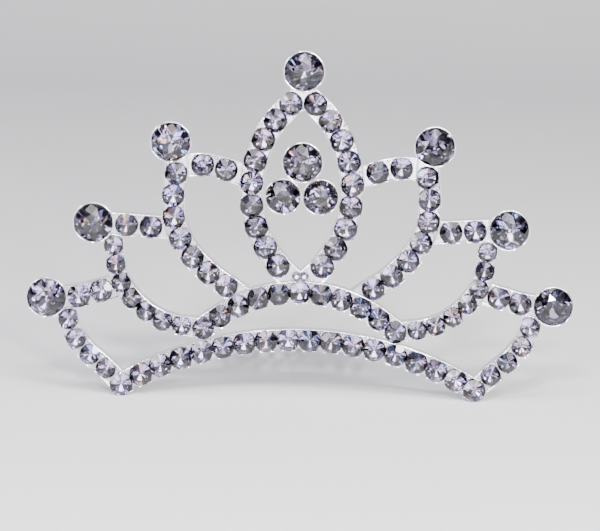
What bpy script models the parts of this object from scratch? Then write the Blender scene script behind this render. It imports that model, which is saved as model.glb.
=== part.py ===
"""A small rhinestone crown on a hair comb.

The crown is an openwork front of brazed metal channels. Each channel carries a row of small
round stones in a bed of adhesive, and ten larger stones sit in bezel cups of their own. A comb
is soldered behind the lowest channel. Its teeth slope back to the level of the crown's two lower
tips, so the crown stands on the tips and the teeth.

Everything is first laid out around the crown's own plane: x across, z up, and y = 0 at the
widest part (the girdle) of the small stones, with the front towards -y. An empty then carries
the whole crown to its place, centred on the origin and standing on z = 0.
"""

import math

import bmesh
import bpy
from mathutils import Vector

MM = 0.001

# Driving dimensions of the whole crown
CROWN_WIDTH = 80.0 * MM
CROWN_HEIGHT = 51.6 * MM

# Small stones: each row takes the number that fits best, and the stones are graded to suit
BAND_STONE = 3.15 * MM
OVAL_STONE = 3.25 * MM
MIDDLE_LEAF_STONE = 2.7 * MM
OUTER_LEAF_STONE = 2.8 * MM
STONE_SPACE = 0.05 * MM
LOOSEST_PITCH = 1.12
TIGHTEST_PITCH = 0.94
STONE_CROWN = 0.85 * MM
STONE_PAVILION = 1.2 * MM
STONE_SIDES = 8
TABLE_SHARE = 0.56

# Channels: the metal strips that the rows of small stones sit in
RIM = 0.13 * MM
LEDGE = 0.12 * MM
CHANNEL_FRONT = 0.25 * MM
CHANNEL_FLOOR = 0.4 * MM
BED_THICKNESS = 0.5 * MM
BED_MARGIN = 0.2 * MM
BED_COVER = 0.1 * MM
OVAL_FOOT_SPACE = 0.7 * MM

# Every seat and every brazed or soldered joint keeps this clearance
GAP = 0.1 * MM

# Large stones and their bezel cups
CUP_DIAMETER = 6.0 * MM
CUP_WALL = 0.15 * MM
CUP_LIP = 0.15 * MM
CUP_SHOULDER = 0.3 * MM
CUP_FLOOR = 0.6 * MM
CUP_SIDES = 16
CUP_HOLE = 0.9 * MM
BIG_CROWN = 1.3 * MM
BIG_PAVILION = 2.0 * MM
BIG_GIRDLE = 0.2 * MM
BIG_RAISE = 0.3 * MM
TREFOIL_SINK = 0.3 * MM

# Comb
COMB_WIDTH = 24.0 * MM
COMB_REACH = 29.0 * MM
SPINE_HEIGHT = 2.6 * MM
SPINE_THICKNESS = 1.0 * MM
SOLDER_THICKNESS = 0.5 * MM
SOLDER_LENGTH = 3.0 * MM
SOLDER_SHARE = 0.7
TOOTH_COUNT = 11
TOOTH_DIAMETER = 1.1 * MM
TOOTH_TIP_SHARE = 0.6
TOOTH_SAG = 0.3 * MM

# Two round-headed pins that close the foot of the pointed oval
BEAD_DIAMETER = 0.8 * MM
PIN_SHARE = 0.6
PIN_HEAD = 0.2 * MM

# The crown's outline is drawn on a sheet of this size, and scaled to the crown
SHEET_WIDTH, SHEET_HEIGHT = 80.0, 51.6
CHORD = 2.3 * MM
END_CAP_STEPS = 6
SEARCH_STEP = 0.05 * MM
CUTTER_REACH = 5.0 * MM

BAND_HALF = BAND_STONE / 2 + RIM
OVAL_HALF = OVAL_STONE / 2 + RIM
POCKET_BACK = STONE_PAVILION + BED_COVER + GAP
CHANNEL_BACK = POCKET_BACK + CHANNEL_FLOOR
CUP_RADIUS = CUP_DIAMETER / 2
CUP_BACK = BIG_GIRDLE / 2 + BIG_PAVILION + CUP_FLOOR

METAL = ("silver_plate", (0.86, 0.86, 0.90), 0.16, 1.0)
COMB_METAL = ("comb_plate", (0.80, 0.80, 0.83), 0.25, 1.0)
SOLDER_METAL = ("solder", (0.70, 0.70, 0.72), 0.4, 1.0)
SMALL_GLASS = ("small_stone_glass", (0.78, 0.76, 0.86), 0.03, 0.2)
LARGE_GLASS = ("large_stone_glass", (0.72, 0.72, 0.86), 0.02, 0.2)


# ---------------------------------------------------------------- paths in the crown's plane


def on_crown(x, z):
    """A point of the drawing, on the crown."""
    return Vector((x * CROWN_WIDTH / SHEET_WIDTH, z * CROWN_HEIGHT / SHEET_HEIGHT))


def arc_over(half_width, crest, rise, share_from=-1.0, share_to=1.0):
    """Points along a round arch: its crest is at (0, crest), and its ends are rise below."""
    radius = (half_width**2 + rise**2) / (2 * rise)
    reach = math.asin(half_width / radius)
    steps = 60
    points = []
    for i in range(steps + 1):
        turn = reach * (share_from + (share_to - share_from) * i / steps)
        points.append(Vector((radius * math.sin(turn), crest - radius * (1 - math.cos(turn)))))
    return points


def smooth(points):
    """A Catmull-Rom curve through the points."""
    first = points[0] * 2 - points[1]
    last = points[-1] * 2 - points[-2]
    knots = [first, *points, last]
    steps = 16
    curve = [points[0].copy()]
    for i in range(1, len(knots) - 2):
        a, b, c, d = knots[i - 1 : i + 3]
        for step in range(1, steps + 1):
            t = step / steps
            curve.append(
                0.5 * (2 * b + (c - a) * t + (2 * a - 5 * b + 4 * c - d) * t**2)
                + 0.5 * (3 * b - a - 3 * c + d) * t**3
            )
    return curve


def mirrored(points):
    return [Vector((-p.x, p.y)) for p in points]


def length_of(path):
    return sum((b - a).length for a, b in zip(path, path[1:]))


def point_at(path, distance):
    """The point this far along the path, and the unit direction there."""
    for a, b in zip(path, path[1:]):
        run = (b - a).length
        if distance <= run:
            return a + (b - a) * (distance / run), (b - a).normalized()
        distance -= run
    return path[-1].copy(), (path[-1] - path[-2]).normalized()


def stretch(path, start, end):
    """The part of the path between two distances along it, in even chords."""
    count = max(1, math.ceil((end - start) / CHORD))
    spots = [start + (end - start) * i / count for i in range(count + 1)]
    return [point_at(path, s)[0] for s in spots]


def distance_to(point, path):
    """How far the point is from the path."""
    best = None
    for a, b in zip(path, path[1:]):
        run = b - a
        share = min(1.0, max(0.0, (point - a).dot(run) / run.length_squared))
        away = (point - (a + run * share)).length
        best = away if best is None or away < best else best
    return best


# ---------------------------------------------------------------- outlines and solids


def outline(path, half, round_ends):
    """The closed outline of a strip of this half width along the path, with round or square ends."""
    sides = []
    for i, p in enumerate(path):
        before = path[max(i - 1, 0)]
        after = path[min(i + 1, len(path) - 1)]
        along = (after - before).normalized()
        sides.append((p, Vector((-along.y, along.x))))
    left = [p + n * half for p, n in sides]
    right = [p - n * half for p, n in reversed(sides)]
    if not round_ends:
        return [*left, *right]
    end_cap = half_turn(sides[-1][0], sides[-1][1] * half)
    start_cap = half_turn(sides[0][0], sides[0][1] * -half)
    return [*left, *end_cap, *right, *start_cap]


def half_turn(centre, spoke):
    """The inner points of a half circle that starts at centre + spoke and turns clockwise."""
    points = []
    for i in range(1, END_CAP_STEPS):
        turn = -math.pi * i / END_CAP_STEPS
        points.append(
            centre
            + Vector(
                (
                    spoke.x * math.cos(turn) - spoke.y * math.sin(turn),
                    spoke.x * math.sin(turn) + spoke.y * math.cos(turn),
                )
            )
        )
    return points


def finish_mesh(name, shape):
    bmesh.ops.recalc_face_normals(shape, faces=shape.faces)
    mesh = bpy.data.meshes.new(name)
    shape.to_mesh(mesh)
    shape.free()
    return mesh


def prism(name, corners, front, back):
    """A mesh with this outline in the crown's plane, from y = front to y = back."""
    shape = bmesh.new()
    face = shape.faces.new([shape.verts.new((p.x, front, p.y)) for p in corners])
    grown = bmesh.ops.extrude_face_region(shape, geom=[face])
    moved = [v for v in grown["geom"] if isinstance(v, bmesh.types.BMVert)]
    bmesh.ops.translate(shape, verts=moved, vec=(0, back - front, 0))
    return finish_mesh(name, shape)


def turned(name, profile, sides, closed):
    """A mesh turned about the y axis from (radius, y) points, the loop joined up if closed."""
    shape = bmesh.new()
    verts = [shape.verts.new((r, y, 0)) for r, y in profile]
    ends = zip(verts, verts[1:] + verts[:1]) if closed else zip(verts, verts[1:])
    edges = [shape.edges.new(pair) for pair in ends]
    bmesh.ops.spin(
        shape,
        geom=verts + edges,
        cent=(0, 0, 0),
        axis=(0, 1, 0),
        angle=2 * math.pi,
        steps=sides,
        use_duplicate=False,
    )
    bmesh.ops.remove_doubles(shape, verts=shape.verts, dist=1e-7)
    return finish_mesh(name, shape)


def material(finish):
    name, colour, roughness, metallic = finish
    found = bpy.data.materials.get(name)
    if found:
        return found
    made = bpy.data.materials.new(name)
    made.use_nodes = True
    shader = made.node_tree.nodes["Principled BSDF"]
    shader.inputs["Base Color"].default_value = (*colour, 1.0)
    shader.inputs["Roughness"].default_value = roughness
    shader.inputs["Metallic"].default_value = metallic
    return made


def place(name, mesh, finish, at=(0, 0, 0)):
    """Puts a mesh on the crown as a named piece."""
    piece = bpy.data.objects.new(name, mesh)
    piece.location = at
    piece.parent = crown
    bpy.context.scene.collection.objects.link(piece)
    if not mesh.materials:
        mesh.materials.append(material(finish))
    return piece


def helper(name, mesh, at=(0, 0, 0)):
    """A cutter, or a shape that is joined into a piece. It isn't a piece itself."""
    tool = bpy.data.objects.new(name, mesh)
    tool.location = at
    tool.parent = crown
    tool.hide_render = True
    tool.display_type = "WIRE"
    bpy.context.scene.collection.objects.link(tool)
    return tool


def combine(piece, tool, operation):
    step = piece.modifiers.new(tool.name, "BOOLEAN")
    step.operation = operation
    step.solver = "EXACT"
    step.object = tool
    return piece


# ---------------------------------------------------------------- channels with their stones


def free_run(path, blocked):
    """The longest stretch of the path on which a stone's centre is clear of what blocks it."""
    best, begun, at = (0.0, 0.0), None, 0.0
    total = length_of(path)
    while at <= total:
        if not blocked(point_at(path, at)[0]):
            begun = at if begun is None else begun
            if at - begun > best[1] - best[0]:
                best = (begun, at)
        else:
            begun = None
        at += SEARCH_STEP
    return best


def stone_mesh(name, radius, crown_height, pavilion, sides):
    """A small stone: a flat table, sloping crown facets, and a point behind."""
    profile = [(0, -crown_height), (radius * TABLE_SHARE, -crown_height), (radius, 0), (0, pavilion)]
    return turned(name, profile, sides, closed=False)


def stone_row(name, path, run, diameter):
    """One row: a strip of adhesive with evenly spaced stones standing in it."""
    start, end = run
    gaps = round((end - start) / (diameter + STONE_SPACE))
    if gaps and (end - start) / gaps < diameter * TIGHTEST_PITCH:
        gaps -= 1
    pitch = min((end - start) / max(gaps, 1), diameter * LOOSEST_PITCH)
    radius = min(diameter, pitch - STONE_SPACE if gaps else diameter) / 2
    first_spot = (start + end - pitch * gaps) / 2
    shape = bmesh.new()
    single = stone_mesh(name + "_stone", radius, STONE_CROWN, STONE_PAVILION, STONE_SIDES)
    for i in range(gaps + 1):
        centre, along = point_at(path, first_spot + pitch * i)
        first = len(shape.verts)
        shape.from_mesh(single)
        shape.verts.ensure_lookup_table()
        added = shape.verts[first:]
        turn = math.atan2(along.y, along.x)
        for v in added:
            x, z = v.co.x, v.co.z
            v.co.x = centre.x + x * math.cos(turn) - z * math.sin(turn)
            v.co.z = centre.y + x * math.sin(turn) + z * math.cos(turn)
    bpy.data.meshes.remove(single)
    stones = helper(name + "_stones", finish_mesh(name + "_stones", shape))
    bed_half = diameter / 2 - LEDGE - BED_MARGIN
    bed_back = POCKET_BACK - GAP
    overrun = radius / 4
    last_spot = first_spot + pitch * gaps
    ends = stretch(path, max(first_spot - overrun, 0), min(last_spot + overrun, length_of(path)))
    bed = prism(name, outline(ends, bed_half, False), bed_back - BED_THICKNESS, bed_back)
    return combine(place(name, bed, SMALL_GLASS), stones, "UNION")


class Channel:
    """A metal channel along a path, with a row of stones. It gives way to the pieces in yields_to.

    A free channel stops at its first and last stones, with round ends. Any other runs on to the
    middle of its neighbours, and is cut off square to meet them. Its stones keep the space to
    the neighbours.
    """

    def __init__(
        self,
        name,
        path,
        yields_to=(),
        cups=(),
        side=0,
        free=False,
        stone=BAND_STONE,
        space=0.0,
    ):
        self.name, self.path, self.stone, self.free = name, path, stone, free
        self.space = space
        self.half = stone / 2 + RIM
        self.yields_to, self.cups, self.side = yields_to, cups, side
        self.run = free_run(path, self.blocked)
        ends = self.run if free else (0.0, length_of(path))
        self.middle = stretch(path, *ends)

    def blocked(self, point):
        clear = self.stone / 2 + GAP
        near = clear + self.space
        if any(distance_to(point, c.middle) < c.half + near for c in self.yields_to):
            return True
        if any((point - centre).length < CUP_RADIUS + clear for centre in self.cups):
            return True
        return bool(self.side) and self.side * point.x < clear

    def strip(self, name, half, front, back, overrun=0.0):
        middle = self.middle
        if overrun and not self.free:
            before = middle[0] + (middle[0] - middle[1]).normalized() * overrun
            after = middle[-1] + (middle[-1] - middle[-2]).normalized() * overrun
            middle = [before, *middle, after]
        return prism(name, outline(middle, half, self.free), front, back)

    def keep_out(self):
        """The space that a neighbour leaves to this channel."""
        name = self.name + "_keep_out"
        reach = CHANNEL_BACK + CUTTER_REACH
        return helper(name, self.strip(name, self.half + GAP, -CUTTER_REACH, reach))

    def build(self):
        strip = self.strip(self.name, self.half, CHANNEL_FRONT, CHANNEL_BACK)
        body = place(self.name, strip, METAL)
        name = self.name + "_pocket"
        pocket = self.strip(
            name, self.stone / 2 - LEDGE, -CUTTER_REACH, POCKET_BACK, overrun=self.half
        )
        combine(body, helper(name, pocket), "DIFFERENCE")
        for neighbour in self.yields_to:
            combine(body, neighbour.keep_out(), "DIFFERENCE")
        for i, centre in enumerate(self.cups):
            tool = cup_keep_out(f"{self.name}_cup_{i}", centre)
            combine(body, tool, "DIFFERENCE")
        if self.side:
            combine(body, half_space(self.name, -self.side), "DIFFERENCE")
        stone_row(self.name + "_stones", self.path, self.run, self.stone)


def half_space(name, side):
    """A block that fills everything on one side of the crown's middle, and half the joint gap."""
    near, far = side * -GAP / 2, side * CROWN_WIDTH
    corners = [
        Vector((near, -CROWN_HEIGHT)),
        Vector((far, -CROWN_HEIGHT)),
        Vector((far, CROWN_HEIGHT * 2)),
        Vector((near, CROWN_HEIGHT * 2)),
    ]
    mesh = prism(name + "_half", corners, -CUTTER_REACH, CHANNEL_BACK + CUTTER_REACH)
    return helper(name + "_half", mesh)


# ---------------------------------------------------------------- large stones in cups


def cup_keep_out(name, centre):
    """The space that a channel leaves to the cup at this centre."""
    rim = []
    for i in range(CUP_SIDES * 2):
        turn = math.pi * (i + 0.5) / CUP_SIDES
        rim.append(centre + Vector((math.cos(turn), math.sin(turn))) * (CUP_RADIUS + GAP))
    return helper(name, prism(name, rim, -CUTTER_REACH, CHANNEL_BACK + CUTTER_REACH))


def cup_and_stone(name, centre, radius, depth):
    """A tapered cup, open behind, and the large stone inside its lip."""
    inner = radius - CUP_WALL
    stone_radius = inner - GAP
    profile = [
        (radius, -CUP_LIP),
        (radius, CUP_SHOULDER),
        (radius * 0.84, CUP_BACK * 0.4),
        (radius * 0.5, CUP_BACK),
        (CUP_HOLE / 2, CUP_BACK),
        (inner, BIG_GIRDLE / 2 + GAP),
        (inner, -CUP_LIP),
    ]
    at = (centre.x, depth, centre.y)
    place(name + "_cup", turned(name + "_cup", profile, CUP_SIDES, closed=True), METAL, at)
    gem = [
        (0, -BIG_GIRDLE / 2 - BIG_CROWN),
        (stone_radius * TABLE_SHARE, -BIG_GIRDLE / 2 - BIG_CROWN),
        (stone_radius, -BIG_GIRDLE / 2),
        (stone_radius, BIG_GIRDLE / 2),
        (0, BIG_GIRDLE / 2 + BIG_PAVILION),
    ]
    place(name + "_stone", turned(name + "_stone", gem, CUP_SIDES, closed=False), LARGE_GLASS, at)


# ---------------------------------------------------------------- comb


def tooth_mesh(name, start, end):
    """A tapered wire tooth from start to end, both (x, y, z), bowed a little upwards."""
    curve = bpy.data.curves.new(name, "CURVE")
    curve.dimensions = "3D"
    curve.bevel_depth = TOOTH_DIAMETER / 2
    curve.bevel_resolution = 1
    curve.use_fill_caps = True
    steps = 6
    line = curve.splines.new("POLY")
    line.points.add(steps)
    for i in range(steps + 1):
        share = i / steps
        spot = start.lerp(end, share)
        spot.z += TOOTH_SAG * 4 * share * (1 - share)
        line.points[i].co = (*spot, 1)
        line.points[i].radius = 1 - (1 - TOOTH_TIP_SHARE) * share**2
    guide = helper(name, curve)
    bpy.context.view_layer.update()
    graph = bpy.context.evaluated_depsgraph_get()
    mesh = bpy.data.meshes.new_from_object(guide.evaluated_get(graph))
    bpy.data.objects.remove(guide)
    return mesh


def build_comb(base):
    """The comb behind the base channel: a spine that follows it, teeth, and solder between."""
    middle = length_of(base.path) / 2
    spine_front = CHANNEL_BACK + SOLDER_THICKNESS
    spine_back = spine_front + SPINE_THICKNESS
    run = stretch(base.path, middle - COMB_WIDTH / 2, middle + COMB_WIDTH / 2)
    spine = place(
        "comb", prism("comb", outline(run, SPINE_HEIGHT / 2, True), spine_front, spine_back), COMB_METAL
    )
    teeth = bmesh.new()
    tip_radius = TOOTH_DIAMETER / 2 * TOOTH_TIP_SHARE
    for i in range(TOOTH_COUNT):
        spot = middle + (COMB_WIDTH) * (i / (TOOTH_COUNT - 1) - 0.5)
        root, _ = point_at(base.path, spot)
        start = Vector((root.x, (spine_front + spine_back) / 2, root.y))
        end = Vector((root.x, spine_back + COMB_REACH, tip_radius))
        mesh = tooth_mesh(f"comb_tooth_{i + 1}", start, end)
        teeth.from_mesh(mesh)
        bpy.data.meshes.remove(mesh)
    bmesh.ops.remove_doubles(teeth, verts=teeth.verts, dist=1e-7)
    combine(spine, helper("comb_teeth", finish_mesh("comb_teeth", teeth)), "UNION")
    for side, word in ((-1, "left"), (1, "right")):
        at = middle + side * COMB_WIDTH / 2 * SOLDER_SHARE
        pad = stretch(base.path, at - SOLDER_LENGTH / 2, at + SOLDER_LENGTH / 2)
        corners = outline(pad, SPINE_HEIGHT / 2 - GAP, True)
        mesh = prism("solder", corners, CHANNEL_BACK + GAP, spine_front - GAP)
        place(f"comb_solder_{word}", mesh, SOLDER_METAL)


# ---------------------------------------------------------------- the crown


def pin_mesh(name):
    """A pin that stands on the channel's floor, with a round head."""
    radius = BEAD_DIAMETER / 2
    head = []
    for i in range(5):
        turn = math.pi / 2 * i / 4
        head.append((radius * math.sin(turn), -PIN_HEAD - radius * math.cos(turn)))
    stem = [(radius * PIN_SHARE, PIN_HEAD), (radius * PIN_SHARE, POCKET_BACK - GAP)]
    return turned(name, [*head, *stem, (0, POCKET_BACK - GAP)], 10, closed=False)


def pointed_oval(side):
    """One side of the pointed oval in the middle, from its top point to its foot."""
    half_width, top, foot = on_crown(7.35, 0).x, on_crown(0, 45.2).y, on_crown(0, 17.0).y
    half_height = (top - foot) / 2
    bulge = arc_over(half_height, half_width, half_width)
    return [Vector((side * p.y, (top + foot) / 2 - p.x)) for p in bulge]


def build_crown():
    tip = on_crown(26.0, 0)
    base_crest = on_crown(0, 8.85).y
    base = Channel(
        "lower_band", arc_over(tip.x, base_crest, base_crest - BAND_HALF), free=True
    )
    shoulder = arc_over(on_crown(12.3, 0).x, on_crown(0, 16.0).y, on_crown(0, 4.25).y)
    fall = (shoulder[-1] - shoulder[-2]).normalized() * on_crown(7.0, 0).x
    foot = shoulder[-1] + fall
    arch = Channel("arch_band", [*mirrored([foot]), *shoulder, foot], [base], free=True)

    big = {
        "outer": Vector((CROWN_WIDTH / 2 - CUP_RADIUS, on_crown(0, 14.7).y)),
        "middle": on_crown(30.2, 25.95),
        "inner": on_crown(19.07, 38.0),
    }
    top = Vector((0, CROWN_HEIGHT - CUP_RADIUS))
    channels = [base, arch]
    for side, word in ((-1, "left"), (1, "right")):

        def drawn(*spots, start=None):
            known = [start] if start else []
            path = smooth([*known, *[on_crown(*spot) for spot in spots]])
            return path if side > 0 else mirrored(path)

        cups = {k: Vector((side * c.x, c.y)) for k, c in big.items()}
        oval = Channel(
            f"oval_{word}",
            pointed_oval(side),
            [arch],
            [top],
            side=side,
            stone=OVAL_STONE,
            space=OVAL_FOOT_SPACE,
        )
        path = drawn(
            (7.6, 14.5),
            (10.2, 16.4),
            (13.2, 18.5),
            (16.6, 22.1),
            (18.4, 26.2),
            (18.6, 30.2),
            (18.2, 33.8),
            (18.4, 37.0),
        )
        inner = Channel(f"inner_leaf_{word}", path, [arch], [cups["inner"]])
        path = drawn((18.2, 34.4), (14.3, 34.7), (10.8, 34.0), (7.2, 32.8))
        inner_bar = Channel(f"inner_bar_{word}", path, [inner, oval], [cups["inner"]])
        path = drawn((29.0, 25.8), (25.3, 25.6), (21.9, 25.4), (18.1, 25.2))
        middle_bar = Channel(f"middle_bar_{word}", path, [inner], [cups["middle"]])
        path = drawn(
            (18.3, 10.9),
            (21.3, 12.0),
            (24.3, 14.4),
            (26.2, 17.2),
            (27.0, 20.4),
            (27.4, 25.7),
            start=arch.middle[-1],
        )
        middle = Channel(
            f"middle_leaf_{word}",
            path,
            [arch, base, middle_bar],
            [cups["middle"]],
            stone=MIDDLE_LEAF_STONE,
        )
        path = drawn((35.8, 14.4), (32.2, 14.9), (29.0, 15.8), (25.9, 16.7))
        outer_bar = Channel(f"outer_bar_{word}", path, [middle], [cups["outer"]])
        path = drawn(
            (28.8, 4.5), (31.3, 6.7), (33.1, 9.2), (33.9, 11.8), (34.2, 14.6), start=base.middle[-1]
        )
        outer = Channel(
            f"outer_leaf_{word}",
            path,
            [base, outer_bar],
            [cups["outer"]],
            stone=OUTER_LEAF_STONE,
        )
        channels += [oval, inner, inner_bar, middle, middle_bar, outer, outer_bar]
        for level, centre in cups.items():
            cup_and_stone(f"{level}_{word}", centre, CUP_RADIUS, -BIG_RAISE)

    for channel in channels:
        channel.build()
    build_comb(base)
    cup_and_stone("top", top, CUP_RADIUS, -BIG_RAISE)
    build_trefoil()


def build_trefoil():
    """Three large stones inside the pointed oval, and the two pins at its foot."""
    opening = on_crown(7.35, 0).x - OVAL_HALF
    low_radius = min(CUP_RADIUS, (opening - GAP * 2.5) / 2)
    low_x = opening - GAP * 2 - low_radius
    low_z = on_crown(0, 30.2).y
    high_z = low_z + math.sqrt((CUP_RADIUS + low_radius + GAP) ** 2 - low_x**2)
    cup_and_stone("trefoil_top", Vector((0, high_z)), CUP_RADIUS, 0)
    for side, word in ((-1, "left"), (1, "right")):
        cup_and_stone(f"trefoil_{word}", Vector((side * low_x, low_z)), low_radius, TREFOIL_SINK)
        pin_x = BEAD_DIAMETER / 2 + GAP * 1.5
        pin_z = on_crown(0, 16.0).y + BAND_HALF + GAP * 3 + BEAD_DIAMETER / 2
        place(f"foot_pin_{word}", pin_mesh("foot_pin"), METAL, (side * pin_x, 0, pin_z))


for old in list(bpy.data.objects):
    bpy.data.objects.remove(old)

crown = bpy.data.objects.new("crown", None)
bpy.context.scene.collection.objects.link(crown)
FRONT_FACE = -(BIG_RAISE + BIG_GIRDLE / 2 + BIG_CROWN)
BACK_FACE = CHANNEL_BACK + SOLDER_THICKNESS + SPINE_THICKNESS + COMB_REACH
crown.location.y = -(FRONT_FACE + BACK_FACE) / 2

build_crown()
for piece in bpy.data.objects:
    if piece.type == "MESH" and not piece.hide_render:
        piece.data.shade_smooth()
        piece.data.set_sharp_from_angle(angle=math.radians(30))
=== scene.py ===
import math
import random

import bmesh
import bpy
from mathutils import Matrix, Vector


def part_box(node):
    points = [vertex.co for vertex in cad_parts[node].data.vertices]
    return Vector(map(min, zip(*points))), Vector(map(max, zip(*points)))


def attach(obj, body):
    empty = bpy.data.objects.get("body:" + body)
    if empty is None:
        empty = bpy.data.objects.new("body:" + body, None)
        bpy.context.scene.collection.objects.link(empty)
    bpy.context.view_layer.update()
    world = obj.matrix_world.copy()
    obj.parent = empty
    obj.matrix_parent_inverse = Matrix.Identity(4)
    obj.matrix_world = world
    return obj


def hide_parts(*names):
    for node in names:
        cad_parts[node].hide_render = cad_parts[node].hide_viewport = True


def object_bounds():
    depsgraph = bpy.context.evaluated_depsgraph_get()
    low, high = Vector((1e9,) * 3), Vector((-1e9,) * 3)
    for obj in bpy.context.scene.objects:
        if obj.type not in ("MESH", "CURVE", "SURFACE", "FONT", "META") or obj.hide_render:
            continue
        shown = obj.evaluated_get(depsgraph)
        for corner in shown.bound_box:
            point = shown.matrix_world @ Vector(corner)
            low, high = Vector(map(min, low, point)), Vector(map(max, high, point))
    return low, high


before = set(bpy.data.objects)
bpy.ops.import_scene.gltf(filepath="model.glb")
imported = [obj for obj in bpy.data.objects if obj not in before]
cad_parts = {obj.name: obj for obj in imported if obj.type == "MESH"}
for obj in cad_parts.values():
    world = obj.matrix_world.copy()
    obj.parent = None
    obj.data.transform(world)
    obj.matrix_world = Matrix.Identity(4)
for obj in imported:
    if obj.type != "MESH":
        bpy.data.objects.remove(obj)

CAD_BOX = [list(corner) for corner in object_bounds()]
MM = 0.001

# The crown's own values, as the CAD model has them
SHEET_WIDTH, SHEET_HEIGHT = 80.0, 51.6
CROWN_WIDTH = CAD_BOX[1][0] - CAD_BOX[0][0]
CROWN_HEIGHT = CAD_BOX[1][2] - CAD_BOX[0][2]
BAND_STONE = 3.15 * MM
OVAL_STONE = 3.25 * MM
MIDDLE_LEAF_STONE = 2.7 * MM
OUTER_LEAF_STONE = 2.8 * MM
RIM = 0.13 * MM
CHANNEL_FRONT = 0.25 * MM
CHANNEL_BACK = 1.8 * MM
TABLE_SHARE = 0.56
PLANE_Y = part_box("arch_band")[0][1] - CHANNEL_FRONT
CUP_RADIUS = (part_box("top_cup")[1][0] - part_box("top_cup")[0][0]) / 2

# How finely paths are cut up, the space left at every joint, and how far a cutting tool reaches
CHORD = 0.5 * MM
JOINT = 0.02 * MM
FAR = 5.0 * MM

# A band's edge: the lip around it, the sunk web inside it, and the notches between the stones,
# which the pointed oval has only below its middle
EDGE_TRIM = 0.03 * MM
LIP = 0.15 * MM
LIP_FRONT = 0.06 * MM
WEB_DEPTH = 0.55 * MM
NOTCH_RADIUS = 0.56 * MM
NOTCH_OUTSIDE = 0.06 * MM
OVAL_MIDDLE = 33.0 * MM
STONE_SPACE = 0.02 * MM
SAME_ROW = 4.0 * MM


# ---------------------------------------------------------------- the crown's lines


def on_crown(x, z):
    """A point of the drawing, on the crown."""
    return Vector((x * CROWN_WIDTH / SHEET_WIDTH, z * CROWN_HEIGHT / SHEET_HEIGHT))


def arc_over(half_width, crest, rise):
    """Points along a round arch: its crest is at (0, crest), and its ends are rise below."""
    radius = (half_width**2 + rise**2) / (2 * rise)
    reach = math.asin(half_width / radius)
    steps = 60
    points = []
    for i in range(steps + 1):
        turn = reach * (2 * i / steps - 1)
        points.append(Vector((radius * math.sin(turn), crest - radius * (1 - math.cos(turn)))))
    return points


def smooth(points):
    """A Catmull-Rom curve through the points."""
    knots = [points[0] * 2 - points[1], *points, points[-1] * 2 - points[-2]]
    steps = 16
    curve = [points[0].copy()]
    for i in range(1, len(knots) - 2):
        a, b, c, d = knots[i - 1 : i + 3]
        for step in range(1, steps + 1):
            t = step / steps
            curve.append(
                0.5 * (2 * b + (c - a) * t + (2 * a - 5 * b + 4 * c - d) * t**2)
                + 0.5 * (3 * b - a - 3 * c + d) * t**3
            )
    return curve


def mirrored(points):
    return [Vector((-p.x, p.y)) for p in points]


def length_of(path):
    return sum((b - a).length for a, b in zip(path, path[1:]))


def point_at(path, distance):
    """The point this far along the path."""
    for a, b in zip(path, path[1:]):
        run = (b - a).length
        if distance <= run:
            return a + (b - a) * (distance / run)
        distance -= run
    return path[-1].copy()


def stretch(path, start, end):
    """The part of the path between two distances along it, in even chords."""
    count = max(1, math.ceil((end - start) / CHORD))
    return [point_at(path, start + (end - start) * i / count) for i in range(count + 1)]


def outline(path, half, round_ends):
    """The closed outline of a strip of this half width along the path."""
    cap_steps = 16
    sides = []
    for i, p in enumerate(path):
        before = path[max(i - 1, 0)]
        after = path[min(i + 1, len(path) - 1)]
        along = (after - before).normalized()
        sides.append((p, Vector((-along.y, along.x))))
    left = [p + n * half for p, n in sides]
    right = [p - n * half for p, n in reversed(sides)]
    if not round_ends:
        return [*left, *right]
    caps = []
    for centre, spoke in ((sides[-1][0], sides[-1][1] * half), (sides[0][0], sides[0][1] * -half)):
        cap = []
        for i in range(1, cap_steps):
            turn = Matrix.Rotation(-math.pi * i / cap_steps, 2)
            cap.append(centre + turn @ spoke)
        caps.append(cap)
    return [*left, *caps[0], *right, *caps[1]]


# ---------------------------------------------------------------- meshes and pieces


def mesh_of(name, shape):
    bmesh.ops.recalc_face_normals(shape, faces=shape.faces)
    mesh = bpy.data.meshes.new(name)
    shape.to_mesh(mesh)
    shape.free()
    return mesh


def layered(name, path, layers, round_ends):
    """A strip along the path, from (half width, y) layers, each an outline, capped at both ends."""
    shape = bmesh.new()
    loops = []
    for half, y in layers:
        points = outline(path, half, round_ends)
        loops.append([shape.verts.new((p.x, PLANE_Y + y, p.y)) for p in points])
    for low, high in zip(loops, loops[1:]):
        count = len(low)
        for i in range(count):
            j = (i + 1) % count
            shape.faces.new((low[i], low[j], high[j], high[i]))
    shape.faces.new(loops[0])
    shape.faces.new(loops[-1])
    return mesh_of(name, shape)


def turned(name, profile, sides, at, closed=False):
    """A mesh turned about the y axis from (radius, y) points, with its middle at the point."""
    shape = bmesh.new()
    verts = [shape.verts.new((r, y, 0)) for r, y in profile]
    ends = zip(verts, verts[1:] + verts[:1]) if closed else zip(verts, verts[1:])
    edges = [shape.edges.new(pair) for pair in ends]
    bmesh.ops.spin(
        shape,
        geom=verts + edges,
        cent=(0, 0, 0),
        axis=(0, 1, 0),
        angle=2 * math.pi,
        steps=sides,
        use_duplicate=False,
    )
    bmesh.ops.remove_doubles(shape, verts=shape.verts, dist=1e-7)
    bmesh.ops.translate(shape, verts=shape.verts, vec=at)
    return mesh_of(name, shape)


def rod(name, radius, sides, at):
    """A round bar along the y axis, long enough to cut through the whole crown."""
    return turned(name, [(0, -FAR), (radius, -FAR), (radius, FAR), (0, FAR)], sides, at)


def piece(name, mesh, materials, replaces=()):
    """A shown piece of the crown."""
    made = bpy.data.objects.new(name, mesh)
    bpy.context.scene.collection.objects.link(made)
    for material in materials:
        mesh.materials.append(material)
    if replaces:
        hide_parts(*replaces)
    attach(made, "root")
    return made


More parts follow.
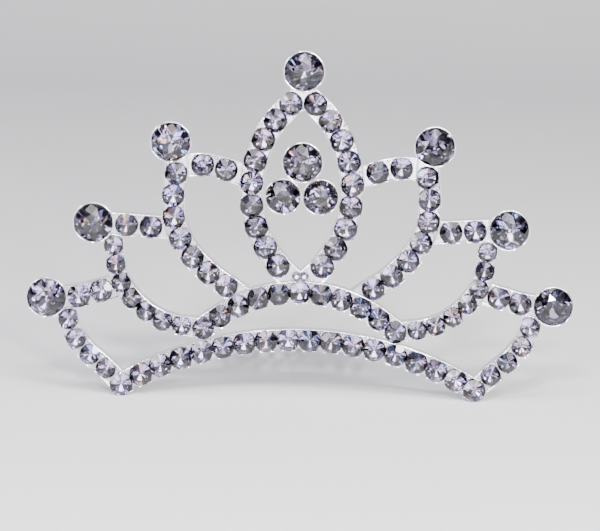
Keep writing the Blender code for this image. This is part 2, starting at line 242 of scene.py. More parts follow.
def cut(target, tool_meshes):
    """Takes the shapes of the tools away from the target, one after the other."""
    tools = []
    for mesh in tool_meshes:
        tool = bpy.data.objects.new(mesh.name, mesh)
        bpy.context.scene.collection.objects.link(tool)
        step = target.modifiers.new(tool.name, "BOOLEAN")
        step.operation = "DIFFERENCE"
        step.solver = "MANIFOLD"
        step.object = tool
        tools.append(tool)
    bpy.context.view_layer.update()
    graph = bpy.context.evaluated_depsgraph_get()
    whole = target.data
    remainder = bpy.data.meshes.new_from_object(target.evaluated_get(graph))
    target.modifiers.clear()
    target.data = remainder
    bpy.data.meshes.remove(whole)
    for tool in tools:
        bpy.data.objects.remove(tool)


def keep_largest(target):
    """Drops the chips that a cut leaves beside the main body."""
    shape = bmesh.new()
    shape.from_mesh(target.data)
    left, bodies = set(shape.verts), []
    while left:
        body, edge = set(), [left.pop()]
        while edge:
            vert = edge.pop()
            body.add(vert)
            near = [e.other_vert(vert) for e in vert.link_edges]
            fresh = [v for v in near if v in left]
            left.difference_update(fresh)
            edge += fresh
        bodies.append(body)
    bodies.sort(key=len)
    chips = [v for body in bodies[:-1] for v in body]
    bmesh.ops.delete(shape, geom=chips, context="VERTS")
    shape.to_mesh(target.data)
    shape.free()


def soften(target, angle=32):
    """Smooth shading with sharp edges kept, and flat faces kept flat."""
    target.data.shade_smooth()
    target.data.set_sharp_from_angle(angle=math.radians(angle))
    weighted = target.modifiers.new("weighted", "WEIGHTED_NORMAL")
    weighted.keep_sharp = True
    weighted.weight = 80


# ---------------------------------------------------------------- materials


def new_material(name):
    made = bpy.data.materials.new(name)
    made.use_nodes = True
    nodes, links = made.node_tree.nodes, made.node_tree.links
    return made, nodes, links, nodes["Principled BSDF"]


def noise(nodes, links, coordinates, scale, detail=4.0, stretch_by=(1, 1, 1)):
    """A noise texture over the piece, with its scale per metre."""
    mapping = nodes.new("ShaderNodeMapping")
    mapping.inputs["Scale"].default_value = stretch_by
    links.new(coordinates.outputs["Object"], mapping.inputs["Vector"])
    texture = nodes.new("ShaderNodeTexNoise")
    texture.inputs["Scale"].default_value = scale
    texture.inputs["Detail"].default_value = detail
    links.new(mapping.outputs["Vector"], texture.inputs["Vector"])
    return texture.outputs["Fac"]


def ramp(nodes, links, value, stops):
    """A colour ramp over the value, from (position, colour or grey) stops."""
    made = nodes.new("ShaderNodeValToRGB")
    links.new(value, made.inputs["Fac"])
    elements = made.color_ramp.elements
    while len(elements) < len(stops):
        elements.new(0.5)
    for element, (position, colour) in zip(elements, stops):
        grey = isinstance(colour, (int, float))
        element.position = position
        element.color = (colour, colour, colour, 1) if grey else (*colour, 1)
    return made.outputs["Color"]


def bump(nodes, links, shader, heights):
    """Bumps from (height, strength, distance) on the shader's normal."""
    last = None
    for height, strength, distance in heights:
        made = nodes.new("ShaderNodeBump")
        made.inputs["Strength"].default_value = strength
        made.inputs["Distance"].default_value = distance
        links.new(height, made.inputs["Height"])
        if last:
            links.new(last, made.inputs["Normal"])
        last = made.outputs["Normal"]
    links.new(last, shader.inputs["Normal"])


def plated_metal(name, clean, dull, rough_low, rough_high, grain=(1, 1, 1)):
    """Bright plating over a casting: cloudy colour, fine wear and a faint orange-peel surface."""
    made, nodes, links, shader = new_material(name)
    at = nodes.new("ShaderNodeTexCoord")
    clouds = noise(nodes, links, at, 260, 5)
    shades = [(0.30, dull), (0.62, clean)]
    links.new(ramp(nodes, links, clouds, shades), shader.inputs["Base Color"])
    fine = noise(nodes, links, at, 2600, 3, grain)
    links.new(
        ramp(nodes, links, fine, [(0.35, rough_low), (0.75, rough_high)]), shader.inputs["Roughness"]
    )
    peel = noise(nodes, links, at, 900, 2)
    scratches = noise(nodes, links, at, 5200, 2, grain)
    bump(nodes, links, shader, [(peel, 0.16, 0.00012), (scratches, 0.05, 0.00004)])
    shader.inputs["Metallic"].default_value = 1.0
    return made


def glass(name):
    made, nodes, links, shader = new_material(name)
    tint_and_painted_light = nodes.new("ShaderNodeAttribute")
    tint_and_painted_light.attribute_name = "tint_and_painted_light"
    at = nodes.new("ShaderNodeTexCoord")
    smears = noise(nodes, links, at, 700, 3)
    links.new(
        ramp(nodes, links, smears, [(0.45, 0.0), (0.8, 0.015)]), shader.inputs["Roughness"]
    )
    links.new(tint_and_painted_light.outputs["Color"], shader.inputs["Base Color"])
    shader.inputs["IOR"].default_value = 1.58
    shader.inputs["Transmission Weight"].default_value = 1.0
    shader.inputs["Specular IOR Level"].default_value = 0.6
    return made


def foil(name):
    made, nodes, links, shader = new_material(name)
    # The foil's colour per facet comes from the attribute: painted highlights, painted shade and
    # painted coloured glints over a lavender tint
    tint_and_painted_light = nodes.new("ShaderNodeAttribute")
    tint_and_painted_light.attribute_name = "tint_and_painted_light"
    at = nodes.new("ShaderNodeTexCoord")
    crinkle = noise(nodes, links, at, 3000, 2)
    links.new(
        ramp(nodes, links, crinkle, [(0.4, 0.01), (0.8, 0.05)]), shader.inputs["Roughness"]
    )
    links.new(tint_and_painted_light.outputs["Color"], shader.inputs["Base Color"])
    shader.inputs["Metallic"].default_value = 1.0
    return made


SILVER = plated_metal("silver_plate_bright", (0.93, 0.92, 0.95), (0.74, 0.72, 0.79), 0.06, 0.22)
# A darker copy of the plating: painted shade for the sunk webs, seats and notches that face forward
RECESS_PAINTED_SHADE = plated_metal("silver_plate_painted_shade", (0.60, 0.58, 0.66), (0.30, 0.28, 0.34), 0.14, 0.38)
COMB = plated_metal("comb_wire_plate", (0.82, 0.82, 0.85), (0.70, 0.69, 0.73), 0.16, 0.34, (1, 0.1, 1))
SOLDER = plated_metal("solder_grey", (0.72, 0.72, 0.74), (0.50, 0.50, 0.53), 0.28, 0.5)
GLASS = glass("rhinestone_glass")
FOIL = foil("rhinestone_foil")


# ---------------------------------------------------------------- stones


def paint(faces, glass_count, tint_and_painted_light, chance, painted_highlight_share, darkest_painted_shade):
    """Sets each facet's slot, glass 0 or foil 1, and its colour: a lavender tint, with the foil facets
    painted as highlights or as shade, and some given painted warm or blue glints.
    """
    warm, blue = (1.0, 0.78, 0.55), (0.58, 0.72, 1.0)
    for i, face in enumerate(faces):
        behind = i >= glass_count
        face.material_index = 1 if behind else 0
        # Each foil facet is painted either near white as a highlight or near black as shade, whatever
        # the lamps do
        bright = chance.random() < painted_highlight_share
        shade = chance.uniform(0.86, 1.0) if bright else chance.uniform(darkest_painted_shade, 0.24)
        shade = shade if behind else chance.uniform(0.96, 1.0)
        colour = (shade * 0.90, shade * 0.83, shade)
        # Some foil facets get painted warm or blue glints, in place of the coloured fire of dispersion
        pick = chance.random()
        if behind and pick < 0.07:
            colour = tuple(shade * c for c in warm)
        elif behind and pick < 0.20:
            colour = tuple(shade * c for c in blue)
        for loop in face.loops:
            loop[tint_and_painted_light] = (*colour, 1.0)


def placed(shape, centre, chance, step):
    """A function that adds a stone's point, with the stone turned and leaned a little."""
    spin = chance.random() * step
    nod, sway = [math.radians(chance.uniform(-4, 4)) for _ in range(2)]
    lean = Matrix.Rotation(nod, 4, "X") @ Matrix.Rotation(sway, 4, "Z")

    def point(r, angle, y):
        spot = lean @ Vector((r * math.cos(angle + spin), y, r * math.sin(angle + spin)))
        return shape.verts.new(centre + spot)

    return point


def single_cut(shape, centre, radius, crown, pavilion, table, chance):
    """Adds a small round stone: a table, eight crown facets and sixteen foiled back facets.

    The rim dips between two crown facets' corners, so that each crown facet is flat.
    """
    mains, girdle = 8, 0.03 * MM
    step = 2 * math.pi / mains
    point = placed(shape, centre, chance, step)
    flat = math.cos(step / 2)
    table_radius = radius * table
    dip = crown * radius * (1 - flat) / ((radius - table_radius) * flat)
    tops = [point(table_radius, step * k, -crown) for k in range(mains)]
    rim = [point(radius, step * k / 2, dip if k % 2 else 0) for k in range(mains * 2)]
    low = [point(radius, step * k / 2, dip + girdle) for k in range(mains * 2)]
    culet = point(0, 0, pavilion)
    faces = [shape.faces.new(tops)]
    for k in range(mains):
        n = (k + 1) % mains
        faces.append(shape.faces.new((tops[k], tops[n], rim[2 * n], rim[2 * k + 1], rim[2 * k])))
    for k in range(mains * 2):
        n = (k + 1) % (mains * 2)
        faces.append(shape.faces.new((rim[k], rim[n], low[n], low[k])))
    glass_count = len(faces)
    for k in range(mains * 2):
        faces.append(shape.faces.new((culet, low[k - 1], low[k])))
    paint(faces, glass_count, shape.loops.layers.float_color["tint_and_painted_light"], chance, 0.55, 0.03)


def full_cut(shape, centre, radius, crown, pavilion, girdle, table, chance):
    """Adds a large round stone: table, stars, kites and halves over foiled mains and halves.

    The kites meet the stars at the mids, and the foiled mains meet their halves at the feet.
    """
    mains = 8
    step = 2 * math.pi / mains
    point = placed(shape, centre, chance, step)
    flat = math.cos(step / 2)
    table_radius = radius * table
    mid_radius = radius * (0.62 + 0.38 * table)
    mid_y = -crown * (radius - mid_radius * flat) / (radius - table_radius)
    foot_radius = radius * 0.34
    foot_y = girdle + (pavilion - girdle) * (radius - foot_radius * flat) / radius
    tops = [point(table_radius, step * k, -crown) for k in range(mains)]
    mids = [point(mid_radius, step * (k + 0.5), mid_y) for k in range(mains)]
    rim = [point(radius, step * k / 2, 0) for k in range(mains * 2)]
    low = [point(radius, step * k / 2, girdle) for k in range(mains * 2)]
    feet = [point(foot_radius, step * (k + 0.5), foot_y) for k in range(mains)]
    culet = point(0, 0, pavilion)
    faces = [shape.faces.new(tops)]
    for k in range(mains):
        n = (k + 1) % mains
        faces.append(shape.faces.new((tops[k], tops[n], mids[k])))
        faces.append(shape.faces.new((tops[k], mids[k - 1], rim[2 * k], mids[k])))
        faces.append(shape.faces.new((mids[k], rim[2 * k], rim[2 * k + 1])))
        faces.append(shape.faces.new((mids[k], rim[2 * k + 1], rim[(2 * k + 2) % (2 * mains)])))
    for k in range(mains * 2):
        n = (k + 1) % (mains * 2)
        faces.append(shape.faces.new((rim[k], rim[n], low[n], low[k])))
    glass_count = len(faces)
    for k in range(mains):
        faces.append(shape.faces.new((culet, feet[k - 1], low[2 * k], feet[k])))
        faces.append(shape.faces.new((feet[k], low[2 * k], low[2 * k + 1])))
        faces.append(shape.faces.new((feet[k], low[2 * k + 1], low[(2 * k + 2) % (2 * mains)])))
    paint(faces, glass_count, shape.loops.layers.float_color["tint_and_painted_light"], chance, 0.42, 0.02)


def stones_in(node):
    """(centre, radius) of each small stone, from the tables of the CAD row."""
    flatness, table_edge = 0.02 * MM, 0.9 * MM
    corners = [v.co.copy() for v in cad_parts[node].data.vertices]
    front = min(v.y for v in corners)
    left = [v for v in corners if v.y < front + flatness]
    stones = []
    while left:
        group = [left.pop()]
        for member in group:
            near = [v for v in left if (v - member).length < table_edge]
            group += near
            left = [v for v in left if v not in near]
        middle = sum(group, Vector()) / len(group)
        reach = max((v - middle).length for v in group)
        stones.append((Vector((middle.x, PLANE_Y, middle.z)), reach / TABLE_SHARE))
    return sorted(stones, key=lambda s: (s[0].x, s[0].z))


def gem_row(row, stones):
    """The stones of a row, as one piece."""
    crown, pavilion, table = 0.52 * MM, 1.15 * MM, 0.54
    shape = bmesh.new()
    shape.loops.layers.float_color.new("tint_and_painted_light")
    chance = random.Random(row)
    for centre, radius in stones:
        share = radius / (BAND_STONE / 2)
        full = radius + STONE_SPACE
        single_cut(shape, centre, full, crown * share, pavilion * share, table, chance)
    mesh = mesh_of(row + "_gems", shape)
    piece(row + "_gems", mesh, [GLASS, FOIL], [row + "_stones"])


def large_gem(name, centre, radius):
    """The large stone of a cup."""
    crown, pavilion, girdle, table = 1.15 * MM, 2.05 * MM, 0.1 * MM, 0.5
    shape = bmesh.new()
    shape.loops.layers.float_color.new("tint_and_painted_light")
    chance = random.Random(name)
    full_cut(shape, centre, radius, crown, pavilion, girdle, table, chance)
    mesh = mesh_of(name + "_gem", shape)
    piece(name + "_gem", mesh, [GLASS, FOIL], [name + "_stone"])


# ---------------------------------------------------------------- bands


def seat_tool(centre, radius):
    """What a small stone's seat takes out of the metal: a round hole that ends in a cone."""
    wide = radius + STONE_SPACE
    profile = [
        (0, -0.5 * MM),
        (wide, -0.5 * MM),
        (wide, 0.04 * MM),
        (radius * 0.80, 0.34 * MM),
        (radius * 0.22, 1.32 * MM),
        (0, 1.32 * MM),
    ]
    return turned("seat", profile, 32, centre)


def dimple_tool(centre, radius):
    """What the shallow mark behind a small stone takes out of the metal."""
    profile = [
        (0, CHANNEL_BACK - 0.16 * MM),
        (radius * 0.34, CHANNEL_BACK - 0.16 * MM),
        (radius * 0.44, CHANNEL_BACK + 0.02 * MM),
        (radius * 0.44, CHANNEL_BACK + 0.5 * MM),
        (0, CHANNEL_BACK + 0.5 * MM),
    ]
    return turned("dimple", profile, 32, centre)


class Band:
    """A cast band along a path, with a lip on each edge and a seat under every stone.

    It gives way to the bands in yields_to and to the cups. The oval's two bands have a side, 1 on
    the right and -1 on the left, and end at the middle. A free band has round ends, at these two
    distances along its path.
    """

    def __init__(self, name, path, yields_to=(), cups=(), side=0, free=None, stone=BAND_STONE):
        self.name, self.path, self.free = name, path, free
        self.half = stone / 2 + RIM
        self.edge = self.half - EDGE_TRIM
        self.yields_to, self.cups, self.side = yields_to, cups, side
        self.stones = stones_in(name + "_stones")
        self.middle = stretch(path, *(free or (0.0, length_of(path))))

    def keep_out(self):
        """The room that other bands leave for this one."""
        layers = [(self.half + JOINT, -FAR), (self.half + JOINT, CHANNEL_BACK + FAR)]
        return layered(self.name + "_cut", self.middle, layers, bool(self.free))

    def section(self):
        """(half width, depth) of each layer: the back, round the lip, and down to the web."""
        crest, steps = LIP / 2, 6
        inner = self.edge - LIP
        layers = [
            (self.edge - 0.10 * MM, CHANNEL_BACK),
            (self.edge - 0.03 * MM, CHANNEL_BACK - 0.02 * MM),
            (self.edge, CHANNEL_BACK - 0.09 * MM),
        ]
        for i in range(steps + 1):
            turn = math.pi * i / steps
            half = self.edge - crest + crest * math.cos(turn)
            layers.append((half, LIP_FRONT + crest - crest * math.sin(turn)))
        layers += [
            (inner, WEB_DEPTH - 0.10 * MM),
            (inner - 0.03 * MM, WEB_DEPTH - 0.03 * MM),
            (inner - 0.10 * MM, WEB_DEPTH),
        ]
        return layers

    def stone_cuts(self):
        """The seats, the marks behind them and the notches between the stones, as one tool."""
        tools = []
        for centre, radius in self.stones:
            tools += [seat_tool(centre, radius), dimple_tool(centre, radius)]
        for middle, across in self.gaps():
            if not self.side or middle.z <= OVAL_MIDDLE:
                at = middle - across * (self.half + NOTCH_OUTSIDE)
                tools.append(rod("notch", NOTCH_RADIUS, 32, at))
        shape = bmesh.new()
        for tool in tools:
            shape.from_mesh(tool)
            bpy.data.meshes.remove(tool)
        joined = bpy.data.meshes.new(self.name + "_seats")
        shape.to_mesh(joined)
        shape.free()
        return joined

    def pin_pocket(self):
        """The hollow around the foot pin of the oval's band."""
        radius = 0.72 * MM
        pin = node_middle("foot_pin_right" if self.side > 0 else "foot_pin_left")
        profile = [(0, -FAR), (radius, -FAR), (radius, 0.5 * MM), (0, 1.7 * MM)]
        return turned(self.name + "_pin_pocket", profile, 32, (pin.x, PLANE_Y, pin.y))

    def build(self):
        mesh = layered(self.name + "_plate", self.middle, self.section(), bool(self.free))
        made = piece(self.name + "_plate", mesh, [SILVER, RECESS_PAINTED_SHADE], [self.name])
        tools = [neighbour.keep_out() for neighbour in self.yields_to]
        for i, cup in enumerate(self.cups):
            at = (cup.x, PLANE_Y, cup.y)
            tools.append(rod(f"{self.name}_cup_{i}", CUP_RADIUS + JOINT, 48, at))
        if self.side:
            tools += [half_space(self.name + "_half", -self.side), self.pin_pocket()]
        cut(made, [*tools, self.stone_cuts()])
        keep_largest(made)
        self.paint_shade_in_recesses(made)
        soften(made)
        self.add_grains()
        gem_row(self.name, self.stones)

    def paint_shade_in_recesses(self, made):
        """Gives the sunk faces that look forward the second material, a darker plating that paints
        shade into the recesses.
        """
        for face in made.data.polygons:
            sunk = PLANE_Y + 0.3 * MM < face.center.y < PLANE_Y + 1.5 * MM
            face.material_index = 1 if sunk and face.normal.y < -0.3 else 0

    def gaps(self):
        """The middle between each two neighbouring stones, and the direction across, upward."""
        row = [centre for centre, _ in self.stones]
        row.sort(key=lambda c: self.distance_to(c))
        found = []
        for a, b in zip(row, row[1:]):
            if (a - b).length > SAME_ROW:
                continue
            along = (b - a).normalized()
            across = Vector((-along.z, 0, along.x))
            if across.z < 0:
                across.negate()
            found.append(((a + b) / 2, across))
        return found

    def add_grains(self):
        """Raised metal grains above the gaps between neighbouring stones."""
        depth, length = 0.33 * MM, 1.9
        shape = bmesh.new()
        chance = random.Random(self.name)
        for middle, across in self.gaps():
            size = chance.uniform(0.17, 0.22) * MM
            spot = middle + across * (self.edge - LIP - size * 0.9)
            spot.y = PLANE_Y + depth
            grain = bmesh.ops.create_icosphere(shape, subdivisions=2, radius=size)
            bmesh.ops.scale(shape, vec=(1, length, 1), verts=grain["verts"])
            bmesh.ops.translate(shape, vec=spot, verts=grain["verts"])
        mesh = mesh_of(self.name + "_grains", shape)
        mesh.shade_smooth()
        piece(self.name + "_grains", mesh, [SILVER], [])

    def distance_to(self, point):
        """How far along the path the stone's centre lies."""
        flat = Vector((point.x, point.z))
        best, run, nearest = 0.0, 0.0, math.inf
        for a, b in zip(self.path, self.path[1:]):
            step = b - a
            share = max(0.0, min(1.0, (flat - a).dot(step) / step.length_squared))
            gap = (flat - a - step * share).length
            if gap < nearest:
                nearest, best = gap, run + step.length * share
            run += step.length
        return best


def half_space(name, side):
    """All of the crown on this side of its middle, and half a joint more."""
    near, far = -side * JOINT / 2, side * CROWN_WIDTH
    shape = bmesh.new()
    bmesh.ops.create_cube(shape, size=1.0)
    low, high = sorted((near, far))
    for v in shape.verts:
        v.co.x = low if v.co.x < 0 else high
        v.co.y = PLANE_Y + (-FAR if v.co.y < 0 else FAR)
        v.co.z = -CROWN_HEIGHT if v.co.z < 0 else CROWN_HEIGHT * 2
    return mesh_of(name, shape)


def node_middle(node):
    """The middle of a CAD node, in the crown's plane."""
    low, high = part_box(node)
    return Vector(((low[0] + high[0]) / 2, (low[2] + high[2]) / 2))


def pointed_oval(side):
    """The path of one side of the oval, from its top down to its foot."""
    half_width, top, foot = on_crown(7.35, 0).x, on_crown(0, 45.2).y, on_crown(0, 17.0).y
    bulge = arc_over((top - foot) / 2, half_width, half_width)
    return [Vector((side * p.y, (top + foot) / 2 - p.x)) for p in bulge]


def drawn(side, *spots, start=None):
    """A smooth path through these points of the drawing on one side, after a start if it has one."""
    points = [on_crown(*spot) for spot in spots]
    path = smooth(points if start is None else [start, *points])
    return path if side > 0 else mirrored(path)


def build_bands():
    """Builds the sixteen bands, and gives back the lowest."""
    tip = on_crown(26.0, 0)
    crest = on_crown(0, 8.85).y
    base_path = arc_over(tip.x, crest, crest - BAND_STONE / 2 - RIM)
    base = Band("lower_band", base_path, free=(0.0, length_of(base_path)))
    shoulder = arc_over(on_crown(12.3, 0).x, on_crown(0, 16.0).y, on_crown(0, 4.25).y)
    foot = shoulder[-1] + (shoulder[-1] - shoulder[-2]).normalized() * on_crown(7.0, 0).x
    arch_path = [*mirrored([foot]), *shoulder, foot]
    last = stones_in("arch_band_stones")[-1][0]
    fall = (foot - Vector((last.x, last.z))).length
    arch_length = length_of(arch_path)
    arch = Band("arch_band", arch_path, [base], free=(fall, arch_length - fall))
    bands = [base, arch]
    top = node_middle("top_cup")
    for side, word in ((-1, "left"), (1, "right")):
        cups = {k: node_middle(f"{k}_{word}_cup") for k in ("inner", "middle", "outer")}
        path = pointed_oval(side)
        oval = Band(f"oval_{word}", path, [arch], [top], side=side, stone=OVAL_STONE)
        path = drawn(
            side,
            (7.6, 14.5),
            (10.2, 16.4),
            (13.2, 18.5),
            (16.6, 22.1),
            (18.4, 26.2),
            (18.6, 30.2),
            (18.2, 33.8),
            (18.4, 37.0),
        )
        inner = Band(f"inner_leaf_{word}", path, [arch], [cups["inner"]])
        path = drawn(side, (18.2, 34.4), (14.3, 34.7), (10.8, 34.0), (7.2, 32.8))
        inner_bar = Band(f"inner_bar_{word}", path, [inner, oval], [cups["inner"]])
        path = drawn(side, (29.0, 25.8), (25.3, 25.6), (21.9, 25.4), (18.1, 25.2))
        middle_bar = Band(f"middle_bar_{word}", path, [inner], [cups["middle"]])
        path = drawn(
            side,
            (18.3, 10.9),
            (21.3, 12.0),
            (24.3, 14.4),
            (26.2, 17.2),
            (27.0, 20.4),
            (27.4, 25.7),
            start=arch.middle[-1],
        )
        before = [arch, base, middle_bar]
        size = MIDDLE_LEAF_STONE
        middle = Band(f"middle_leaf_{word}", path, before, [cups["middle"]], stone=size)
        path = drawn(side, (35.8, 14.4), (32.2, 14.9), (29.0, 15.8), (25.9, 16.7))
        outer_bar = Band(f"outer_bar_{word}", path, [middle], [cups["outer"]])
        path = drawn(
            side,
            (28.8, 4.5),
            (31.3, 6.7),
            (33.1, 9.2),
            (33.9, 11.8),
            (34.2, 14.6),
            start=base.middle[-1],
        )
        before = [base, outer_bar]
        size = OUTER_LEAF_STONE
        outer = Band(f"outer_leaf_{word}", path, before, [cups["outer"]], stone=size)
        bands += [oval, inner, inner_bar, middle_bar, middle, outer_bar, outer]
    for band in bands:
        band.build()
    return base


# ---------------------------------------------------------------- cups, pins and comb


def build_cup(name):
    """A bezel cup with a rolled lip and a hole through its back, and the large stone in it."""
    low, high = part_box(name + "_cup")
    radius = (high[0] - low[0]) / 2
    back = high[1] - low[1]
    centre = Vector(((low[0] + high[0]) / 2, low[1], (low[2] + high[2]) / 2))
    stone_low, stone_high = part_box(name + "_stone")
    stone_radius = (stone_high[0] - stone_low[0]) / 2
    wall = 0.15 * MM
    inner = radius - wall
    profile = [
        (radius - 0.02 * MM, 0.02 * MM),
        (radius, 0.06 * MM),
        (radius, 0.42 * MM),
        (radius * 0.965, 0.62 * MM),
        (radius * 0.86, 1.15 * MM),
        (radius * 0.55, back - 0.12 * MM),
        (radius * 0.48, back),
        (0.5 * MM, back),
        (0.42 * MM, back - 0.08 * MM),
        (inner * 0.985, 0.55 * MM),
        (inner, 0.45 * MM),
        (inner - 0.02 * MM, 0.07 * MM),
        (inner + 0.02 * MM, 0.02 * MM),
        (radius - wall / 2, 0.0),
    ]
    mesh = turned(name + "_bezel", profile, 64, centre, closed=True)
    made = piece(name + "_bezel", mesh, [SILVER], [name + "_cup"])
    soften(made, 50)
    girdle = centre + Vector((0, 0.08 * MM, 0))
    large_gem(name, girdle, min(stone_radius + 0.06 * MM, inner - 0.03 * MM))


def build_pins():
    """The two round-headed pins at the foot of the oval."""
    for word in ("left", "right"):
        node = f"foot_pin_{word}"
        low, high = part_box(node)
        radius = (high[0] - low[0]) / 2
        at = Vector(((low[0] + high[0]) / 2, low[1], (low[2] + high[2]) / 2))
        profile = []
        for i in range(11):
            turn = math.pi * 0.78 * i / 10
            profile.append((radius * math.sin(turn), radius * (1 - math.cos(turn))))
        profile += [(radius * 0.6, high[1] - low[1]), (0, high[1] - low[1])]
        made = piece(node + "_ball", turned(node, profile, 32, at), [SILVER], [node])
        soften(made, 50)


def build_comb(base):
    """The comb's spine, which follows the lowest band, and its teeth."""
    comb_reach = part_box("comb")[1][1]
    spine_front = CHANNEL_BACK + 0.5 * MM
    spine_back = spine_front + 1.0 * MM
    width, spine_half = 24.0 * MM, 1.3 * MM
    middle = length_of(base.path) / 2
    run = stretch(base.path, middle - width / 2, middle + width / 2)
    r = 0.22 * MM
    layers = [
        (spine_half - r, spine_front),
        (spine_half - r * 0.3, spine_front + r * 0.3),
        (spine_half, spine_front + r),
        (spine_half, spine_back - r),
        (spine_half - r * 0.3, spine_back - r * 0.3),
        (spine_half - r, spine_back),
    ]
    spine = piece("comb_spine", layered("comb_spine", run, layers, True), [COMB], [])
    soften(spine, 40)
    shape = bmesh.new()
    teeth = 11
    for i in range(teeth):
        root = point_at(base.path, middle + width * (i / (teeth - 1) - 0.5))
        start = Vector((root.x, PLANE_Y + (spine_front + spine_back) / 2, root.y))
        add_tooth(shape, start, comb_reach)
    made = piece("comb_teeth", mesh_of("comb_teeth", shape), [COMB], ["comb"])
    soften(made, 50)


def add_tooth(shape, start, reach):
    """Adds a tapering, slightly bowed tooth that runs back to the reach and down to the ground."""
    sides, steps = 16, 24
    root_radius, tip_radius, sag = 0.55 * MM, 0.33 * MM, 0.3 * MM
    across = Vector((1, 0, 0))
    end = Vector((start.x, reach - tip_radius, tip_radius))
    along = (end - start).normalized()
    up = across.cross(along)
    spots = []
    for i in range(steps + 1):
        share = i / steps
        bow = Vector((0, 0, sag * 4 * share * (1 - share)))
        size = root_radius + (tip_radius - root_radius) * share**2
        spots.append((start.lerp(end, share) + bow, size))
    for degrees in (18, 36, 54, 70, 83):
        turn = math.radians(degrees)
        spots.append((end + along * tip_radius * math.sin(turn), tip_radius * math.cos(turn)))
    rings = []
    for centre, size in spots:
        ring = []
        for k in range(sides):
            turn = 2 * math.pi * k / sides
            spoke = across * math.cos(turn) + up * math.sin(turn)
            ring.append(shape.verts.new(centre + spoke * size))
        rings.append(ring)
    for a, b in zip(rings, rings[1:]):
        for k in range(sides):
            n = (k + 1) % sides
            shape.faces.new((a[k], a[n], b[n], b[k]))
    shape.faces.new(rings[0])
    shape.faces.new(rings[-1])


def build_solder():
    """The two lumpy drops of solder between the comb's spine and the lowest band."""
    chance = random.Random(4)
    for word in ("left", "right"):
        node = f"comb_solder_{word}"
        low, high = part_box(node)
        size = [(b - a) / 2 for a, b in zip(low, high)]
        middle = [(b + a) / 2 for a, b in zip(low, high)]
        shape = bmesh.new()
        bmesh.ops.create_icosphere(shape, subdivisions=4, radius=1.0)
        for v in shape.verts:
            swell = 1 + 0.05 * math.sin(5 * v.co.x + 3 * v.co.z) + chance.uniform(-0.008, 0.008)
            v.co = Vector([m + c * s * swell for m, c, s in zip(middle, v.co, size)])
        made = piece(node + "_blob", mesh_of(node, shape), [SOLDER], [node])
        soften(made, 60)


# ---------------------------------------------------------------- studio


def plain(name, colour, roughness, texture_scale):
    """A matt material with a barely visible grain."""
    made, nodes, links, shader = new_material(name)
    at = nodes.new("ShaderNodeTexCoord")
    grain = noise(nodes, links, at, texture_scale, 3)
    low = tuple(c * 0.985 for c in colour)
    links.new(ramp(nodes, links, grain, [(0.3, low), (0.7, colour)]), shader.inputs["Base Color"])
    shader.inputs["Roughness"].default_value = roughness
    return made


def build_studio():
    """A paper floor that curves up into the backdrop."""
    shape = bmesh.new()
    width, front, back, bend, height = 4.0, -4.0, 0.55, 0.25, 1.1
    profile = [(front, 0.0), (back - bend, 0.0)]
    for i in range(1, 13):
        turn = math.pi / 2 * i / 12
        profile.append((back - bend + bend * math.sin(turn), bend - bend * math.cos(turn)))
    profile.append((back, height))
    rows = [[shape.verts.new((x, y, z)) for y, z in profile] for x in (-width, width)]
    for i in range(len(profile) - 1):
        shape.faces.new((rows[0][i], rows[1][i], rows[1][i + 1], rows[0][i + 1]))
    floor = bpy.data.objects.new("studio_floor", mesh_of("studio_floor", shape))
    floor.data.materials.append(plain("studio_paper", (0.62, 0.62, 0.64), 0.6, 40))
    floor.data.shade_smooth()
    bpy.context.scene.collection.objects.link(floor)


def softbox(name, at, toward, size, power, colour=(1, 1, 1)):
    """A rectangular light that points at a place."""
    data = bpy.data.lights.new(name, "AREA")
    data.shape = "RECTANGLE"
    data.size, data.size_y = size
    data.energy = power
    data.color = colour
    lamp = bpy.data.objects.new(name, data)
    lamp.location = at
    lamp.rotation_euler = (Vector(toward) - Vector(at)).to_track_quat("-Z", "Y").to_euler()
    bpy.context.scene.collection.objects.link(lamp)


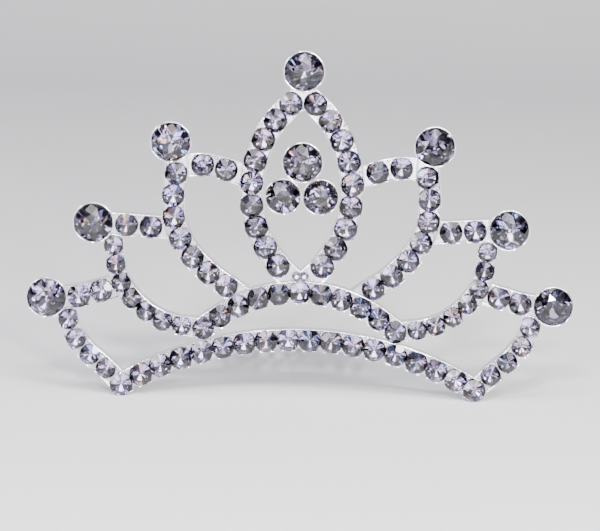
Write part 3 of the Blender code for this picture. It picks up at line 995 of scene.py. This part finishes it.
def build_light():
    """Soft main lights, four small ones for the stones' sparkle, and a dim sky."""
    middle = (0, PLANE_Y, 0.02)
    softbox("key_high", (0.24, -0.40, 0.40), middle, (0.10, 0.10), 2.2, (1.0, 0.98, 0.95))
    softbox("key_side", (0.38, -0.34, 0.28), middle, (0.10, 0.10), 2.0, (1.0, 0.98, 0.95))
    softbox("key_front", (0.26, -0.48, 0.22), middle, (0.08, 0.10), 1.7, (1.0, 0.98, 0.95))
    softbox("fill", (-0.44, -0.34, 0.26), middle, (0.18, 0.26), 2.6, (0.93, 0.95, 1.0))
    softbox("top", (0.0, -0.20, 0.54), middle, (0.50, 0.22), 2.3)
    softbox("front", (0.04, -0.26, 0.30), (0.04, -0.22, 0.0), (0.20, 0.12), 1.0)
    softbox("glint_right", (0.14, -0.54, 0.18), middle, (0.04, 0.04), 2.3, (1.0, 0.94, 0.86))
    softbox("glint_left", (-0.20, -0.50, 0.12), middle, (0.04, 0.04), 2.3, (0.86, 0.92, 1.0))
    softbox("glint_top", (-0.06, -0.42, 0.32), middle, (0.045, 0.045), 2.2)
    softbox("glint_low", (0.05, -0.50, 0.03), middle, (0.05, 0.03), 1.5)
    world = bpy.data.worlds.new("studio_world")
    bpy.context.scene.world = world
    world.use_nodes = True
    nodes, links = world.node_tree.nodes, world.node_tree.links
    at = nodes.new("ShaderNodeTexCoord")
    split = nodes.new("ShaderNodeSeparateXYZ")
    links.new(at.outputs["Generated"], split.inputs["Vector"])
    height = nodes.new("ShaderNodeMapRange")
    height.inputs["From Min"].default_value = -0.1
    height.inputs["From Max"].default_value = 0.9
    links.new(split.outputs["Z"], height.inputs["Value"])
    stops = [(0.0, (0.012, 0.012, 0.016)), (0.45, (0.02, 0.02, 0.03)), (1.0, (0.20, 0.20, 0.24))]
    colour = ramp(nodes, links, height.outputs["Result"], stops)
    links.new(colour, nodes["Background"].inputs["Color"])
    nodes["Background"].inputs["Strength"].default_value = 1.0


def build_camera():
    distance, elevation, roll = 0.400, math.radians(12.0), math.radians(1.1)
    target = Vector((-0.08 * MM, PLANE_Y, 20.10 * MM))
    data = bpy.data.cameras.new("camera")
    data.sensor_width = 36.0
    data.lens = 164.7
    data.clip_start = 0.01
    camera = bpy.data.objects.new("camera", data)
    offset = Vector((0, -math.cos(elevation), math.sin(elevation))) * distance
    turn = Matrix.Rotation(math.pi / 2 - elevation, 4, "X") @ Matrix.Rotation(roll, 4, "Z")
    camera.matrix_world = Matrix.Translation(target + offset) @ turn
    bpy.context.scene.collection.objects.link(camera)
    bpy.context.scene.camera = camera


build_camera()
base = build_bands()
for level in ("inner", "middle", "outer", "trefoil"):
    for word in ("left", "right"):
        build_cup(f"{level}_{word}")
build_cup("top")
build_cup("trefoil_top")
build_pins()
build_comb(base)
build_solder()
build_studio()
build_light()

bpy.context.view_layer.update()
